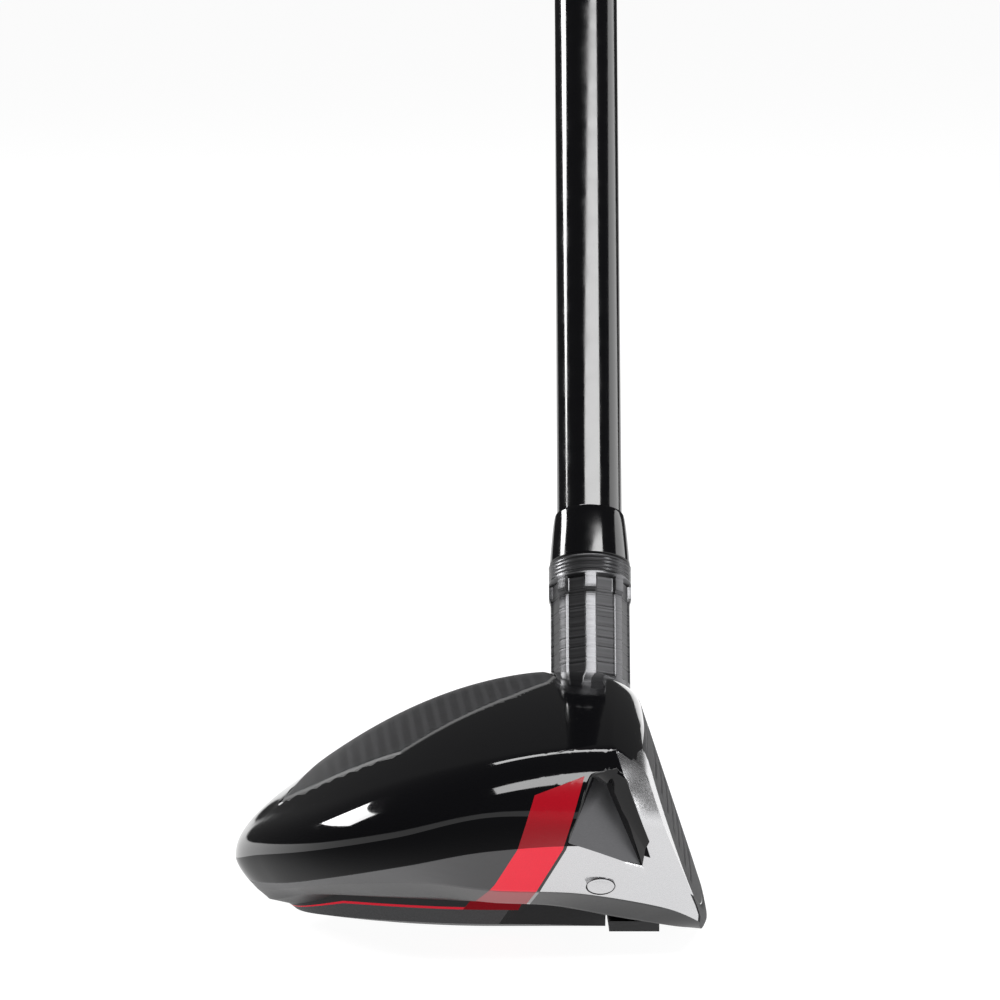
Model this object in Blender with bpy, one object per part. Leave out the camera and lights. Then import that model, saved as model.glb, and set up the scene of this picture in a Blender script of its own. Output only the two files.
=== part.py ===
"""Hybrid golf club at address: hollow steel head, fluted hosel, graphite shaft and rubber grip.

Frame: metres in the scene, millimetres in this file. +X is the target direction, -Y the toe,
+Y the heel and the grip, +Z up. The origin is on the sole's flat, which rests on the ground.
"""

import math

import bpy
import bmesh
from mathutils import Matrix, Vector

MM = 0.001

# Driving dimensions, mm
LIE = math.radians(61.0)
LOFT_SLOPE = 0.333          # how far the face leans back for each mm of height
FACE_FOOT = (20.3, 2.2)     # x and z of the face's lowest straight point
FACE_BULGE_R = 700.0
FACE_CENTRE_Y = -3.0
EDGE_ROUND = 1.6            # rounding of the topline, leading edge and face corners
HEAD_CENTRE = (-9.0, -4.0)
WALL = 1.9
GAP = 0.3
CLUB_LENGTH = 1016.0
AXIS_FOOT = (4.9, 20.7)     # where the shaft's axis meets the ground

CROWN_TOP = 33.5
CROWN_RIDGE_Y = 1.0
CROWN_X_CURVE = 0.0102
CROWN_TOE_CURVE = 0.0016
CROWN_HEEL_CURVE = 0.0075
CROWN_INSET = 6.0

# The head's widest outline seen from above, from the toe's front corner round the back
OUTLINE = [
    (18.5, -36.5), (7, -44.5), (-9, -46.5), (-22, -42.5), (-33, -33), (-41, -18), (-45, -2), (-41.5, 13),
    (-33, 24), (-22, 31), (-10, 35), (2, 37.5), (13, 37), (22, 30), (25, 12), (25, -14), (24, -28),
]
WIDEST_Z = [18.7, 21.7, 22.7, 19.2, 15.7, 12.2, 9, 10.2, 12.7, 14.7, 16.7, 16.7, 14.7, 11.7, 11.7, 12.7, 14.7]
# Three lines run round below it: the crease, the flank's foot and the sole's edge. At the same
# stations, each has its distance in from the outline and its height.
CREASE_IN = [2.8, 3.2, 3.2, 3.2, 3.2, 2.4, 1.5, 2, 3.2, 3.2, 3.2, 3.2, 3, 2.5, 2.2, 2.2, 2.5]
CREASE_Z = [12.7, 17.7, 17.6, 14.8, 11.5, 8.1, 6.2, 7.2, 8.7, 10.2, 11.2, 10.7, 7.7, 3.7, 2.3, 2.9, 6.2]
FLANK_IN = [7.5, 11.5, 11.5, 9, 5, 3.6, 3, 4, 6, 8, 9, 9, 7, 5, 4, 4, 5]
FLANK_Z = [7.5, 10, 10.7, 11.6, 10.5, 7.3, 4.6, 6.2, 7.3, 8.3, 8.7, 7.9, 4.9, 2.3, 0.7, 1.1, 3.7]
SOLE_IN = [14, 20, 21.5, 21, 14, 8, 4.6, 7, 12, 16, 17, 17, 14, 9, 6.5, 6.5, 9]
SOLE_Z = [4.9, 6.7, 7, 7.2, 7.4, 6.1, 3.1, 4.7, 5.7, 5.5, 5.5, 4.7, 3, 2, 1, 1.4, 3.2]

# The sole's raised middle, and the small true flat at its centre
KEEL_CENTRE = (-13.0, -1.0)
KEEL_HALF = (24.0, 10.0)
KEEL_DROP = 3.0
KEEL_CAMBER = 0.0028
KEEL_SIDE_CAMBER = 0.033
SOLE_FLAT_BACK = -9.0
FLAT_CENTRE = (-1.0, -1.0)
FLAT_HALF = (5.0, 4.0)
CAVITY_FLOOR = 4.8

HEAD_SECTORS = 44
ROUND = 24

# Distances along the shaft's axis from the ground, mm
HOSEL_FOOT, HOSEL_TOP, COLLAR_FOOT, FLUTE_TOP, FLUTE_FOOT = 20.5, 49.2, 43.1, 46.1, 34.7
FERRULE_TOP = 57.2
SHAFT_TIP, SHAFT_BUTT = 23.0, 1010.0
GRIP_FOOT = 749.0
HOSEL_BORE_R, HOSEL_R, COLLAR_R = 5.0, 5.8, 6.05
SHAFT_TIP_R, SHAFT_BUTT_R, SHAFT_PARALLEL_END = 4.8, 7.6, 170.0

MATERIALS = {
    "gloss_black": ((0.012, 0.012, 0.013), 0.08, 0.0),
    "satin_steel": ((0.13, 0.13, 0.135), 0.38, 0.9),
    "face_steel": ((0.06, 0.06, 0.065), 0.35, 0.9),
    "carbon": ((0.03, 0.03, 0.032), 0.35, 0.0),
    "matte_grey": ((0.09, 0.09, 0.095), 0.6, 0.3),
    "polymer": ((0.02, 0.02, 0.02), 0.5, 0.0),
    "brass": ((0.60, 0.45, 0.2), 0.4, 1.0),
    "rubber": ((0.025, 0.025, 0.026), 0.75, 0.0),
    "tape": ((0.75, 0.72, 0.62), 0.8, 0.0),
}


def clear_scene():
    for obj in list(bpy.data.objects):
        bpy.data.objects.remove(obj)


def material(name):
    made = bpy.data.materials.get(name)
    if made:
        return made
    colour, roughness, metallic = MATERIALS[name]
    made = bpy.data.materials.new(name)
    made.use_nodes = True
    shader = made.node_tree.nodes["Principled BSDF"]
    shader.inputs["Base Color"].default_value = (*colour, 1)
    shader.inputs["Roughness"].default_value = roughness
    shader.inputs["Metallic"].default_value = metallic
    return made


def new_object(name, bm, look, helper=False):
    """An object from a bmesh in millimetres, with its faces pointing out."""
    bmesh.ops.recalc_face_normals(bm, faces=bm.faces)
    mesh = bpy.data.meshes.new(name)
    bm.to_mesh(mesh)
    bm.free()
    mesh.transform(Matrix.Scale(MM, 4))
    obj = bpy.data.objects.new(name, mesh)
    bpy.context.scene.collection.objects.link(obj)
    if helper:
        obj.hide_render = True
        obj.display_type = "WIRE"
        return obj
    mesh.materials.append(material(look))
    mesh.shade_smooth()
    mesh.set_sharp_from_angle(angle=math.radians(35))
    return obj


def boolean(obj, cutter, operation="DIFFERENCE"):
    modifier = obj.modifiers.new(f"{operation.lower()}_{cutter.name}", "BOOLEAN")
    modifier.operation = operation
    modifier.object = cutter


def loft(rings):
    """A closed body through rings of points, each end closed by a fan to its middle."""
    bm = bmesh.new()
    loops = [[bm.verts.new(p) for p in ring] for ring in rings]
    for lower, upper in zip(loops, loops[1:]):
        for i in range(len(lower)):
            j = (i + 1) % len(lower)
            bm.faces.new((lower[i], lower[j], upper[j], upper[i]))
    bmesh.ops.poke(bm, faces=[bm.faces.new(reversed(loops[0])), bm.faces.new(loops[-1])])
    return bm


def periodic(values, t):
    """A smooth closed curve through the stations' values, read at t from 0 to 1."""
    n = len(values)
    place = (t % 1.0) * n
    i, f = int(place), place % 1.0
    a, b, c, d = (values[(i + k) % n] for k in (-1, 0, 1, 2))
    return b + 0.5 * f * (c - a + f * (2 * a - 5 * b + 4 * c - d + f * (3 * (b - c) + d - a)))


def face_x(y, z):
    lean = (z - FACE_FOOT[1]) * LOFT_SLOPE
    return FACE_FOOT[0] - lean - (y - FACE_CENTRE_Y) ** 2 / (2 * FACE_BULGE_R)


def trimmed(x, y, z):
    """The point held behind the face, with a rounded edge where it meets it."""
    limit = face_x(y, z)
    over = max(EDGE_ROUND - abs(limit - x), 0) / EDGE_ROUND
    return (min(x, limit) - over * over * EDGE_ROUND / 4, y, z)


def crown_z(x, y):
    side = y - CROWN_RIDGE_Y
    curve = CROWN_HEEL_CURVE if side > 0 else CROWN_TOE_CURVE
    return CROWN_TOP - CROWN_X_CURVE * (x - 2) ** 2 - curve * side * side


def keel_z(x, y):
    across = max(abs(y - FLAT_CENTRE[1]) - FLAT_HALF[1], 0)
    return KEEL_CAMBER * min(x - SOLE_FLAT_BACK, 0) ** 2 + KEEL_SIDE_CAMBER * across * across


def frontness(x):
    """0 over most of the sole, rising to 1 at the leading edge."""
    return min(max((x - 2) / 10, 0), 1)


def inward(t, amount):
    """The outline's point at t, moved in towards the head's middle by about this many mm."""
    x, y = (periodic([p[k] for p in OUTLINE], t) for k in (0, 1))
    towards = Vector((HEAD_CENTRE[0] - x, HEAD_CENTRE[1] - y))
    towards.normalize()
    return x + towards.x * amount, y + towards.y * amount


def line_point(t, insets, heights, further=0.0, higher=0.0):
    """The point at t on one of the lines below the widest outline."""
    x, y = inward(t, periodic(insets, t) + further)
    return x, y, periodic(heights, t) + higher


def keel_point(t, grow, drop):
    """A point on the raised middle's edge, a rounded oblong, in the direction of the outline at t."""
    x, y = inward(t, 0)
    angle = math.atan2((y - KEEL_CENTRE[1]) / KEEL_HALF[1], (x - KEEL_CENTRE[0]) / KEEL_HALF[0])
    c, s = math.cos(angle), math.sin(angle)
    kx = KEEL_CENTRE[0] + (KEEL_HALF[0] + grow) * math.copysign(abs(c) ** 0.7, c)
    ky = KEEL_CENTRE[1] + (KEEL_HALF[1] + grow) * math.copysign(abs(s) ** 0.7, s)
    backness = min(max((-30 - kx) / 8, 0), 1)
    return kx, ky, keel_z(kx, ky) + drop * (1 - 0.8 * frontness(kx + 3) - 0.85 * backness)


def flat_point(t):
    """A point on the small flat's edge, in the same direction as the keel's point at t."""
    kx, ky, _ = keel_point(t, 0, 0)
    angle = math.atan2((ky - KEEL_CENTRE[1]) / KEEL_HALF[1], (kx - KEEL_CENTRE[0]) / KEEL_HALF[0])
    x = FLAT_CENTRE[0] + FLAT_HALF[0] * math.cos(angle)
    return x, FLAT_CENTRE[1] + FLAT_HALF[1] * math.sin(angle), 0.0


def crown_points(t, inset, lower, shares):
    """Points in over the crown from its edge, which is inset from the outline, towards the middle."""
    edge_x, edge_y = inward(t, inset)
    points = []
    for share in shares:
        x = HEAD_CENTRE[0] + (edge_x - HEAD_CENTRE[0]) * share
        y = HEAD_CENTRE[1] + (edge_y - HEAD_CENTRE[1]) * share
        points.append((x, y, crown_z(x, y) - lower))
    return points


def profile(t):
    """Points up the head at t: flat, keel, sole, flank, crease, widest line, shoulder and crown, mm."""
    flat, inner = flat_point(t), keel_point(t, -3, 0)
    x, y = (flat[0] + inner[0]) / 2, (flat[1] + inner[1]) / 2
    points = [flat, (x, y, keel_z(x, y)), inner, keel_point(t, 0, 0), keel_point(t, 0.9, KEEL_DROP)]
    lines = ((SOLE_IN, SOLE_Z), (FLANK_IN, FLANK_Z), (CREASE_IN, CREASE_Z))
    points += [line_point(t, *line) for line in lines]
    crown = crown_points(t, CROWN_INSET, 0, (1.0, 0.8, 0.55, 0.28))
    wide_z = periodic(WIDEST_Z, t)
    for share in (0, 0.35, 0.65, 0.88):
        turn = share * math.pi / 2
        x, y = inward(t, CROWN_INSET * (1 - math.cos(turn)))
        points.append((x, y, wide_z + (crown[0][2] - wide_z) * math.sin(turn)))
    return [trimmed(*p) for p in points + crown]


def head_skin():
    columns = [profile(i / HEAD_SECTORS) for i in range(HEAD_SECTORS)]
    return loft([list(ring) for ring in zip(*columns)])


def cavity_point(x, y, z):
    """The point held clear of the face plate's ledge and of the toe's scoop."""
    return min(x, face_x(y, z) - CAVITY_BEHIND_FACE), max(y, -43 + 0.5 * max(x + 8, 0)), z


def cavity_skin():
    """The hollow inside the head, about a wall's thickness inside the skin all round."""
    columns = []
    for i in range(HEAD_SECTORS):
        t = i / HEAD_SECTORS
        wide_z = periodic(WIDEST_Z, t)
        crown = crown_points(t, CROWN_INSET + WALL, WALL, (1.0, 0.6, 0.25))
        sole = line_point(t, SOLE_IN, SOLE_Z, 4, WALL)
        floor = [(KEEL_CENTRE[0] + (sole[0] - KEEL_CENTRE[0]) * 0.45, sole[1] * 0.45, CAVITY_FLOOR), sole]
        walls = [line_point(t, FLANK_IN, FLANK_Z, 2, WALL), line_point(t, CREASE_IN, CREASE_Z, WALL + 0.8, 1.5),
                 (*inward(t, WALL), wide_z + 0.4),
                 (*inward(t, WALL + 1.4), wide_z + (crown[0][2] - wide_z) * 0.65)]
        points, lowest = [], CAVITY_FLOOR
        for x, y, z in floor + walls:
            points.append((x, y, max(z, lowest)))
            lowest = points[-1][2] + 0.6 * (len(points) > 1)
        columns.append([cavity_point(*p) for p in points + crown])
    return loft([list(ring) for ring in zip(*columns)])


# The shaft's line

AXIS = Vector((0, math.cos(LIE), math.sin(LIE)))
FOOT = Vector((*AXIS_FOOT, 0))
ACROSS = Vector((1, 0, 0))
SIDE = AXIS.cross(ACROSS)


def along(distance, radius=0.0, angle=0.0):
    return FOOT + AXIS * distance + (ACROSS * math.cos(angle) + SIDE * math.sin(angle)) * radius


def ring_at(distance, radius, steps=ROUND):
    return [along(distance, radius, 2 * math.pi * i / steps) for i in range(steps)]


def turned(profile_points, closed=False):
    """A solid turned about the shaft's line. A closed profile makes a tube."""
    rings = [ring_at(d, r) for d, r in profile_points]
    if not closed:
        return loft(rings)
    bm = bmesh.new()
    loops = [[bm.verts.new(p) for p in ring] for ring in rings]
    for lower, upper in zip(loops, loops[1:] + loops[:1]):
        for i in range(ROUND):
            j = (i + 1) % ROUND
            bm.faces.new((lower[i], lower[j], upper[j], upper[i]))
    return bm


def shaft_r(distance):
    grown = max(distance - SHAFT_PARALLEL_END, 0) / (SHAFT_BUTT - SHAFT_PARALLEL_END)
    return SHAFT_TIP_R + (SHAFT_BUTT_R - SHAFT_TIP_R) * grown


def grip_r(distance):
    f = (distance - GRIP_FOOT) / (CLUB_LENGTH - GRIP_FOOT)
    return 8.6 + 5.0 * f ** 1.15


# The head's pieces

CROWN_PANEL = [(-38.5, -3), (-34, -11), (-28, -17.5), (-21.7, -22.5), (-17.2, -19), (-11, -14), (-6.5, -10),
               (-1.6, -3), (-0.6, 2), (-2, 9), (-7, 15), (-14, 19.5), (-21, 22), (-28, 18), (-34, 9)]
FACE_PLATE = [(-33, 13.2), (-27, 7.7), (-12, 4.9), (8, 4.9), (23, 6.9), (29.5, 10.7), (30, 18.7), (20, 23.2),
              (4, 26.1), (-16, 27.7), (-28, 27.3), (-33.5, 22.7)]
PANEL_DEPTH = 1.2
GROOVES, GROOVE_LOW, GROOVE_STEP, GROOVE_DEPTH = 7, 10.3, 2.35, 0.45
GROOVE_TOE, GROOVE_HEEL = -27.0, 24.0
PLATE_DEPTH = 2.2
CAVITY_BEHIND_FACE = PLATE_DEPTH + GAP + 1.6


def grown(points, amount):
    cx = sum(p[0] for p in points) / len(points)
    cy = sum(p[1] for p in points) / len(points)
    out = []
    for x, y in points:
        away = Vector((x - cx, y - cy))
        out.append((x + away.normalized().x * amount, y + away.normalized().y * amount))
    return out


def smooth_closed(points, steps):
    return [tuple(periodic([p[k] for p in points], i / steps) for k in (0, 1)) for i in range(steps)]


def crown_slab(outline, below, above):
    """A slab that follows the crown, from one depth below it to one height above."""
    rings = []
    centre = (-16.0, -3.0)
    for height, shares in ((-below, (0.3, 0.65, 1)), (above, (1, 0.65, 0.3))):
        for share in shares:
            ring = []
            for x, y in outline:
                px, py = centre[0] + (x - centre[0]) * share, centre[1] + (y - centre[1]) * share
                ring.append((px, py, crown_z(px, py) + height))
            rings.append(ring)
    return loft(rings)


def face_slab(outline, behind, ahead):
    rings = []
    centre = (-3.0, 16.7)
    for depth, shares in ((-behind, (0.4, 1)), (ahead, (1, 0.4))):
        for share in shares:
            ring = []
            for y, z in outline:
                py, pz = centre[0] + (y - centre[0]) * share, centre[1] + (z - centre[1]) * share
                ring.append((face_x(py, pz) + depth, py, pz))
            rings.append(ring)
    return loft(rings)


def box(low, high):
    bm = bmesh.new()
    bmesh.ops.create_cube(bm, size=1)
    size = Vector(high) - Vector(low)
    middle = (Vector(high) + Vector(low)) / 2
    for vertex in bm.verts:
        vertex.co = Vector((vertex.co.x * size.x, vertex.co.y * size.y, vertex.co.z * size.z)) + middle
    return bm


# The sole's rear strip and its slot, mm
REAR_STRIP = [(-35, -6), (-35.6, -1), (-35, 4), (-24, 6.2), (-12, 6.6), (-8.6, 5.6), (-11.5, -8), (-24, -8)]
STRIP_DEPTH = 1.2
SLOT_BACK, SLOT_FRONT, SLOT_REACH = 6.2, 13.6, 20.0
SLOT_DEPTH, SLOT_RISE = 2.4, 0.06
SLOT_FILL_LOW = 0.7
PORT_AT, PORT_TURN, PORT_R = (5.0, -35.0, 11.2), math.radians(41), 1.85

# The toe's scoop, as x, y, z of its corners at the skin and on its floor, from the top left round
SCOOP_LIP = [(3.6, -44, 27.7), (7.4, -43, 29.1), (13.2, -40, 13.1), (-0.2, -45, 17.3)]
SCOOP_FLOOR = [(4.0, -42.4, 27.1), (5.6, -40.4, 25.9), (10.2, -37.4, 14.7), (0.2, -43.6, 17.7)]


def strip_slab(outline, low, high):
    def ring(height):
        return [(x, y, keel_z(x, y) + height) for x, y in outline]
    return loft([ring(low), ring(high)])


def port_plug(radius, inner, outer):
    """A short disc whose axis leans out of the toe's lower flank."""
    axis = Vector((0, -math.sin(PORT_TURN), -math.cos(PORT_TURN)))
    u = Vector((1, 0, 0))
    v = axis.cross(u)
    rings = []
    for depth in (-inner, outer):
        base = Vector(PORT_AT) + axis * depth
        rings.append([base + (u * math.cos(a) + v * math.sin(a)) * radius
                      for a in (2 * math.pi * i / 20 for i in range(20))])
    return loft(rings)


def score_line(z):
    """A shallow square bar that follows the face's bulge, to cut one groove."""
    rings = []
    heel_end = GROOVE_HEEL - max(z - 16.7, 0) * 0.9
    for k in range(7):
        y = GROOVE_TOE + (heel_end - GROOVE_TOE) * k / 6
        x = face_x(y, z)
        rings.append([(x - GROOVE_DEPTH, y, z - 0.35), (x + 2, y, z - 0.35),
                      (x + 2, y, z + 0.35), (x - GROOVE_DEPTH, y, z + 0.35)])
    return loft(rings)


def toe_scoop():
    """The hollow in the toe beside the face: flush at its rear edge and deepest towards the face."""
    mouth = [(x, -60, z) for x, _, z in SCOOP_LIP]
    return loft([mouth, SCOOP_LIP, SCOOP_FLOOR])


def slot_bar(back, front, reach, low, high):
    """A bar across the sole from toe to heel, which rises at both ends as the sole does."""
    rings = []
    for y in (-reach, -reach / 2, 0, reach / 2, reach):
        bottom, top = low + SLOT_RISE * abs(y), high + SLOT_RISE * abs(y)
        rings.append([(back, y, bottom), (front, y, bottom), (front, y, top), (back, y, top)])
    return loft(rings)


def cutter(name, bm):
    return new_object(name, bm, None, helper=True)


def build_head():
    body = new_object("head_body", head_skin(), "gloss_black")
    boolean(body, cutter("neck_join", turned([(16.5, 7.4), (29.5, 7.0), (33.5, 6.6)])), "UNION")
    plate = smooth_closed(FACE_PLATE, 28)
    cuts = {
        "cavity_cut": cavity_skin(),
        "crown_seat_cut": crown_slab(grown(CROWN_PANEL, GAP), PANEL_DEPTH + GAP, 4),
        "crown_opening_cut": crown_slab(grown(CROWN_PANEL, -3), 7, 4),
        "face_seat_cut": face_slab(grown(plate, GAP), PLATE_DEPTH + GAP, 4),
        "face_opening_cut": face_slab(grown(plate, -1.5), 9, 4),
        "slot_cut": slot_bar(SLOT_BACK, SLOT_FRONT, SLOT_REACH, -9, SLOT_DEPTH),
        "strip_cut": strip_slab(grown(REAR_STRIP, GAP), -3, STRIP_DEPTH + GAP),
        "port_cut": port_plug(PORT_R + GAP, 2.2, 8),
        "hosel_socket_cut": turned([(HOSEL_FOOT - 2, HOSEL_R + GAP), (60, HOSEL_R + GAP)]),
        "toe_scoop_cut": toe_scoop(),
    }
    for name, bm in cuts.items():
        boolean(body, cutter(name, bm))

    new_object("crown_panel", crown_slab(CROWN_PANEL, PANEL_DEPTH, 0.05), "carbon")
    face = new_object("face_plate", face_slab(plate, PLATE_DEPTH, 0.02), "face_steel")
    for i in range(GROOVES):
        boolean(face, cutter(f"groove_cut_{i}", score_line(GROOVE_LOW + i * GROOVE_STEP)))
    new_object("sole_rear_strip", strip_slab(REAR_STRIP, 0.05, STRIP_DEPTH), "matte_grey")
    new_object("slot_insert", slot_bar(SLOT_BACK + GAP, SLOT_FRONT - GAP, SLOT_REACH - 1, SLOT_FILL_LOW,
                                       SLOT_DEPTH - GAP), "polymer")
    new_object("toe_port_plug", port_plug(PORT_R, 1.9, 0.05), "satin_steel")


def build_hosel():
    inner = HOSEL_BORE_R
    hosel = new_object("hosel", turned([
        (HOSEL_FOOT, inner), (HOSEL_FOOT, HOSEL_R), (COLLAR_FOOT, HOSEL_R), (COLLAR_FOOT + 0.8, COLLAR_R),
        (HOSEL_TOP - 0.3, COLLAR_R), (HOSEL_TOP, COLLAR_R - 0.2), (HOSEL_TOP, inner),
    ], closed=True), "satin_steel")
    for i in range(8):
        angle = (i + 0.5) * math.pi / 4
        out = ACROSS * math.cos(angle) + SIDE * math.sin(angle)
        turn = Matrix((AXIS.cross(out), AXIS, out)).transposed().to_4x4()
        flute = box((-1.55, FLUTE_FOOT, 5.35), (1.55, FLUTE_TOP, 9))
        flute.transform(Matrix.Translation(FOOT) @ turn)
        boolean(hosel, cutter(f"flute_cut_{i}", flute))
    foot = HOSEL_TOP + 0.1
    bore = SHAFT_TIP_R + 0.15
    new_object("ferrule", turned([
        (foot, bore), (foot, COLLAR_R - 0.15), (foot + 5.6, 5.45), (FERRULE_TOP - 0.6, 5.2),
        (FERRULE_TOP, 4.98), (FERRULE_TOP, bore),
    ], closed=True), "gloss_black")


def build_shaft():
    outside = [(d, shaft_r(d)) for d in (SHAFT_TIP, SHAFT_PARALLEL_END, 450, 740, SHAFT_BUTT)]
    inside = [(d, shaft_r(d) - wall) for d, wall in ((SHAFT_BUTT, 1.1), (450, 1.3), (SHAFT_PARALLEL_END, 1.7),
                                                     (SHAFT_TIP, 2.2))]
    new_object("shaft", turned(outside + inside, closed=True), "gloss_black")
    new_object("tip_weight", turned([(SHAFT_TIP + 0.5, 2.2), (SHAFT_TIP + 14, 2.2)]), "brass")


def build_grip():
    tape_foot = GRIP_FOOT + 4
    clear, thick = 0.12, 0.35
    marks = (tape_foot, 860, SHAFT_BUTT - 1)
    new_object("grip_tape", turned(
        [(d, shaft_r(d) + clear + thick) for d in marks] + [(d, shaft_r(d) + clear) for d in reversed(marks)],
        closed=True), "tape")
    bore_gap = clear + thick + 0.15
    cap_foot = SHAFT_BUTT + 1.4
    outside = [(GRIP_FOOT, 8.0), (GRIP_FOOT + 2, grip_r(GRIP_FOOT + 2))]
    outside += [(d, grip_r(d)) for d in (790, 840, 890, 940, 980)] + [(cap_foot - 3, 13.6), (cap_foot, 13.5)]
    inside = [(cap_foot, 11.0), (cap_foot - 3, 11.0), (cap_foot - 3, shaft_r(1009) + bore_gap),
              (860, shaft_r(860) + bore_gap), (GRIP_FOOT, shaft_r(GRIP_FOOT) + bore_gap)]
    new_object("grip", turned(outside + inside, closed=True), "rubber")
    new_object("grip_end_cap", turned([
        (cap_foot - 1.0, 1.2), (cap_foot - 1.0, 10.6), (cap_foot + 0.3, 10.6), (cap_foot + 0.3, 13.4),
        (CLUB_LENGTH - 1.2, 12.9), (CLUB_LENGTH, 11.0), (CLUB_LENGTH, 1.2)], closed=True), "rubber")


clear_scene()
build_head()
build_hosel()
build_shaft()
build_grip()
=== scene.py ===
"""Looks for the hybrid golf club: a dense head with crisp creases, its fitted pieces, the hosel,
the shaft and the grip.

The object's lengths are in millimetres until mesh_object() scales them to metres. Lights and camera
are placed in metres. +X is the target direction, -Y the toe, +Y the heel and the grip, +Z up.
The origin is the flat on the sole.
"""

import math

import bmesh
import bpy
from mathutils import Matrix, Vector


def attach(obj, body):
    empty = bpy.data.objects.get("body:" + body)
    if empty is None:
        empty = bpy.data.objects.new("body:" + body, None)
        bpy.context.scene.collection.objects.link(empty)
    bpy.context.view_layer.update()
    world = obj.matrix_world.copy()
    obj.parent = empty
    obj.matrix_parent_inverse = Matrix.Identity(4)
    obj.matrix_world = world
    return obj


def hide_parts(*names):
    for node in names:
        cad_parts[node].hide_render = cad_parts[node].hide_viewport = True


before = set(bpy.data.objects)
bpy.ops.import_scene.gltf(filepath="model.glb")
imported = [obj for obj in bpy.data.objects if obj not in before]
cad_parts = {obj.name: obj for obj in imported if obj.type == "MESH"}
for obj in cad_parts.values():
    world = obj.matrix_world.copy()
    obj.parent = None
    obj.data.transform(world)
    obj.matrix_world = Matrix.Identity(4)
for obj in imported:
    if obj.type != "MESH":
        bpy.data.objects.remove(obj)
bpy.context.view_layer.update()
MM = 0.001
MM_PER_M = 1000

# The head's driving sizes, as in the solid model

LOFT_SLOPE = 0.333
FACE_FOOT = (20.3, 2.2)
FACE_BULGE_R = 700.0
FACE_CENTRE_Y = -3.0
HEAD_CENTRE = (-9.0, -4.0)
CROWN_TOP = 33.5
CROWN_RIDGE_Y = 1.0
CROWN_X_CURVE = 0.0102
CROWN_TOE_CURVE = 0.0016
CROWN_HEEL_CURVE = 0.0075
CROWN_INSET = 6.0
CROWN_HIGH_X = 2

# How the face's plane turns under at its two long edges: the line where the curve is left off,
# how far before it the curve starts, and how gently it bends
TOPLINE_DROP, TOPLINE_BAND, TOPLINE_EASE = 0.9, 3.2, 4.2
LEADING_Z, LEADING_CENTRE_Y, LEADING_BAND, LEADING_EASE = 0.8, -1, 1.7, 3.6
LEADING_TOE_CURVE, LEADING_HEEL_CURVE = 0.0054, 0.0016

# Stations round the head from the toe's end of the face: the outline from above, then the height
# of the widest line, and how far inside the outline and how high each crease below it is
OUTLINE = [
    (18.5, -36.5), (7, -44.5), (-9, -46.5), (-22, -42.5), (-33, -33), (-41, -18), (-45, -2),
    (-41.5, 13), (-33, 24), (-22, 31), (-10, 35), (2, 37.5), (13, 37), (22, 30), (25, 12),
    (25, -14), (24, -28),
]
WIDEST_Z = [18.7, 21.7, 22.7, 19.2, 15.7, 12.2, 9.0, 10.2, 12.7, 14.7, 16.7, 16.7, 14.7, 11.7,
            11.7, 12.7, 14.7]
CREASE_IN = [2.8, 3.2, 3.2, 3.2, 3.2, 2.4, 1.5, 2, 3.2, 3.2, 3.2, 3.2, 3, 2.5, 2.2, 2.2, 2.5]
CREASE_Z = [12.7, 17.7, 17.6, 14.8, 11.5, 8.1, 6.2, 7.2, 8.7, 10.2, 11.2, 10.7, 7.7, 3.7, 2.3,
            2.9, 6.2]
FLANK_IN = [7.5, 11.5, 11.5, 9, 5, 3.6, 3, 4, 6, 8, 9, 9, 7, 5, 4, 4, 5]
FLANK_Z = [7.5, 10, 10.7, 11.6, 10.5, 7.3, 4.6, 6.2, 7.3, 8.3, 8.7, 7.9, 4.9, 2.3, 0.7, 1.1, 3.7]
SOLE_IN = [14, 20, 21.5, 21, 14, 8, 4.6, 7, 12, 16, 17, 17, 14, 9, 6.5, 6.5, 9]
SOLE_Z = [4.9, 6.7, 7, 7.2, 7.4, 6.1, 3.1, 4.7, 5.7, 5.5, 5.5, 4.7, 3, 2, 1, 1.45, 3.2]

KEEL_CENTRE = (-13.0, -1.0)
KEEL_HALF = (24.0, 10.0)
KEEL_DROP = 3.0
KEEL_SQUARENESS = 0.7
RIM_GROW = 0.9
KEEL_CAMBER = 0.0028
KEEL_SIDE_CAMBER = 0.033
SOLE_FLAT_BACK = -9.0
FLAT_CENTRE = (-1.0, -1.0)
FLAT_HALF = (5.0, 4.0)

# The shaft's line and the stations along it

LIE = math.radians(61.0)
AXIS = Vector((0, math.cos(LIE), math.sin(LIE)))
FOOT = Vector((4.9, 20.7, 0))
ACROSS = Vector((1, 0, 0))
SIDE = AXIS.cross(ACROSS)
CLUB_LENGTH = 1016.0
HOSEL_FOOT, HOSEL_TOP, COLLAR_FOOT, FLUTE_TOP = 20.5, 49.2, 43.1, 46.1
FERRULE_TOP, SHAFT_TIP, SHAFT_BUTT, GRIP_FOOT = 57.2, 23.0, 1010.0, 749.0


# Small mesh and material helpers

def mesh_object(name, bm, materials=(), smooth=30, node=None, slot=None):
    """An object from a bmesh in millimetres. A slot makes it ride on the body, and a node is the
    CAD node that it replaces."""
    bmesh.ops.recalc_face_normals(bm, faces=bm.faces)
    mesh = bpy.data.meshes.new(name)
    bm.to_mesh(mesh)
    bm.free()
    mesh.transform(Matrix.Scale(MM, 4))
    for look in materials:
        mesh.materials.append(look)
    mesh.shade_smooth()
    mesh.set_sharp_from_angle(angle=math.radians(smooth))
    obj = bpy.data.objects.new(name, mesh)
    bpy.context.scene.collection.objects.link(obj)
    if slot:
        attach(obj, "root")
    if node:
        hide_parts(node)
    return obj


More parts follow.
